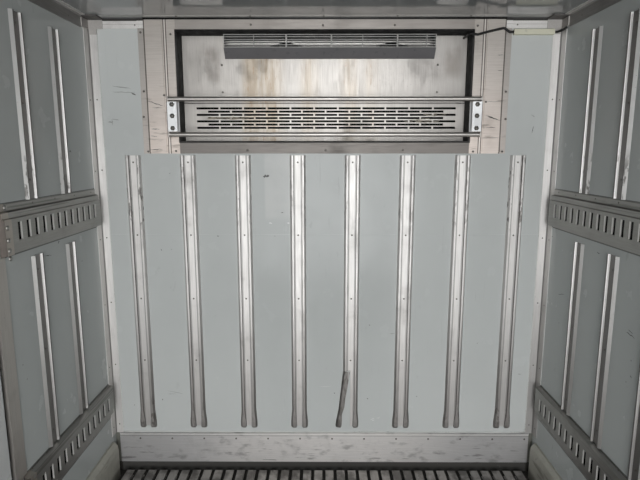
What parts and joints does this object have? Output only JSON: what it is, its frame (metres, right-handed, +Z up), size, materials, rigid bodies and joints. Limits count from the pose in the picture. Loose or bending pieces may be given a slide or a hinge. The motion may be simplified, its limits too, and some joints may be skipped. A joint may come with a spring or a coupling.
{
  "type": "refrigerated truck body",
  "caption": "Insulated load body of a refrigerated truck with nose-mounted cooling unit, rear doors folded open, a side door, lashing rails and a slotted floor.",
  "frame": {"origin": "under the middle of the body, on the plane that its long sills stand on", "axes": "+Y towards the cab, +X to the right of someone looking forward, +Z up"},
  "size_m": [2.434, 5.033, 2.443],
  "materials": {
    "wall_panel": "smooth pale blue-grey panel, satin",
    "floor_board": "dull grey",
    "outer_panel": "white gel coat, satin",
    "rail_aluminium": "dull, oxidised and scuffed",
    "trim_aluminium": "mill finish, scuffed",
    "cap_aluminium": "cast, satin",
    "stainless": "brushed, scratched",
    "guard_steel": "worn bright steel",
    "painted_steel": "black chassis paint, dusty",
    "black_rubber": "matt black rubber",
    "cove_plastic": "dirty cream",
    "sensor_plastic": "cream",
    "cable_sheath": "black sheath",
    "lamp_plastic": "amber lens",
    "tub_metal": "dull sheet",
    "coil_fins": "dark fins",
    "dark_grille": "dark grey, satin",
    "outlet_metal": "grey, satin",
    "housing_plastic": "white moulded cover",
    "black_plastic": "black moulding"
  },
  "bodies": {
    "load_body": {"floor_panel": "floor_board", "floor_rails": "rail_aluminium", "left_wall": "wall_panel", "right_wall": "wall_panel", "front_wall": "wall_panel", "roof_panel": "wall_panel", "rear_frame": "stainless", "edge_rails": "trim_aluminium", "long_sills": "painted_steel", "cross_members": "painted_steel", "mounting_brackets": "painted_steel", "marker_lamps": "lamp_plastic", "corner_trims": "trim_aluminium", "ceiling_trims": "trim_aluminium", "corner_caps": "cap_aluminium", "front_wall_ribs": "trim_aluminium", "side_wall_ribs": "trim_aluminium", "upper_lashing_rails": "rail_aluminium", "lower_lashing_rails": "rail_aluminium", "kick_plate": "stainless", "floor_coves": "cove_plastic", "recess_frame": "stainless", "recess_sleeve": "black_rubber", "evaporator_tub": "tub_metal", "evaporator_face": "stainless", "evaporator_coil": "coil_fins", "evaporator_fan_plate": "tub_metal", "outlet_grille": "outlet_metal", "outlet_deflector": "dark_grille", "evaporator_guard": "guard_steel", "sensor_tube": "sensor_plastic", "sensor_cable": "cable_sheath", "unit_frame": "painted_steel", "condenser_housing": "housing_plastic", "condenser_grille": "black_plastic", "condenser_shroud": "black_plastic", "condenser_coil": "coil_fins", "hinge_brackets": "stainless", "lock_keepers": "stainless", "side_door_frame": "trim_aluminium", "door_buffers": "black_rubber", "rain_gutter": "trim_aluminium"},
    "rear_door_left": {"rear_door_left": "outer_panel", "rear_door_left_seal": "black_rubber", "rear_door_left_fittings": "stainless"},
    "rear_door_right": {"rear_door_right": "outer_panel", "rear_door_right_seal": "black_rubber", "rear_door_right_fittings": "stainless"},
    "side_door": {"side_door": "wall_panel", "side_door_seal": "black_rubber", "side_door_fittings": "stainless"},
    "evaporator_fan_left": {"evaporator_fan_left": "black_plastic"},
    "evaporator_fan_right": {"evaporator_fan_right": "black_plastic"},
    "condenser_fan_left": {"condenser_fan_left": "black_plastic"},
    "condenser_fan_right": {"condenser_fan_right": "black_plastic"}
  },
  "joints": [
    {"name": "rear_door_left_swing", "type": "hinge", "parent": "load_body", "child": "rear_door_left", "pos_m": [-1.097, -2.5035, 1.3], "axis": [0, 0, 1], "range_deg": [0, 270]},
    {"name": "rear_door_right_swing", "type": "hinge", "parent": "load_body", "child": "rear_door_right", "pos_m": [1.097, -2.5035, 1.3], "axis": [0, 0, 1], "range_deg": [-270, 0]},
    {"name": "side_door_swing", "type": "hinge", "parent": "load_body", "child": "side_door", "pos_m": [-1.102, 1.2865, 1.3], "axis": [0, 0, 1], "range_deg": [-180, 0]},
    {"name": "evaporator_fan_left_spin", "type": "hinge", "parent": "load_body", "child": "evaporator_fan_left", "pos_m": [-0.17, 2.1665, 2.162], "axis": [0, 1, 0], "continuous": true},
    {"name": "evaporator_fan_right_spin", "type": "hinge", "parent": "load_body", "child": "evaporator_fan_right", "pos_m": [0.302, 2.1665, 2.162], "axis": [0, 1, 0], "continuous": true},
    {"name": "condenser_fan_left_spin", "type": "hinge", "parent": "load_body", "child": "condenser_fan_left", "pos_m": [-0.275, 2.4415, 1.955], "axis": [0, 1, 0], "continuous": true},
    {"name": "condenser_fan_right_spin", "type": "hinge", "parent": "load_body", "child": "condenser_fan_right", "pos_m": [0.275, 2.4415, 1.955], "axis": [0, 1, 0], "continuous": true}
  ]
}
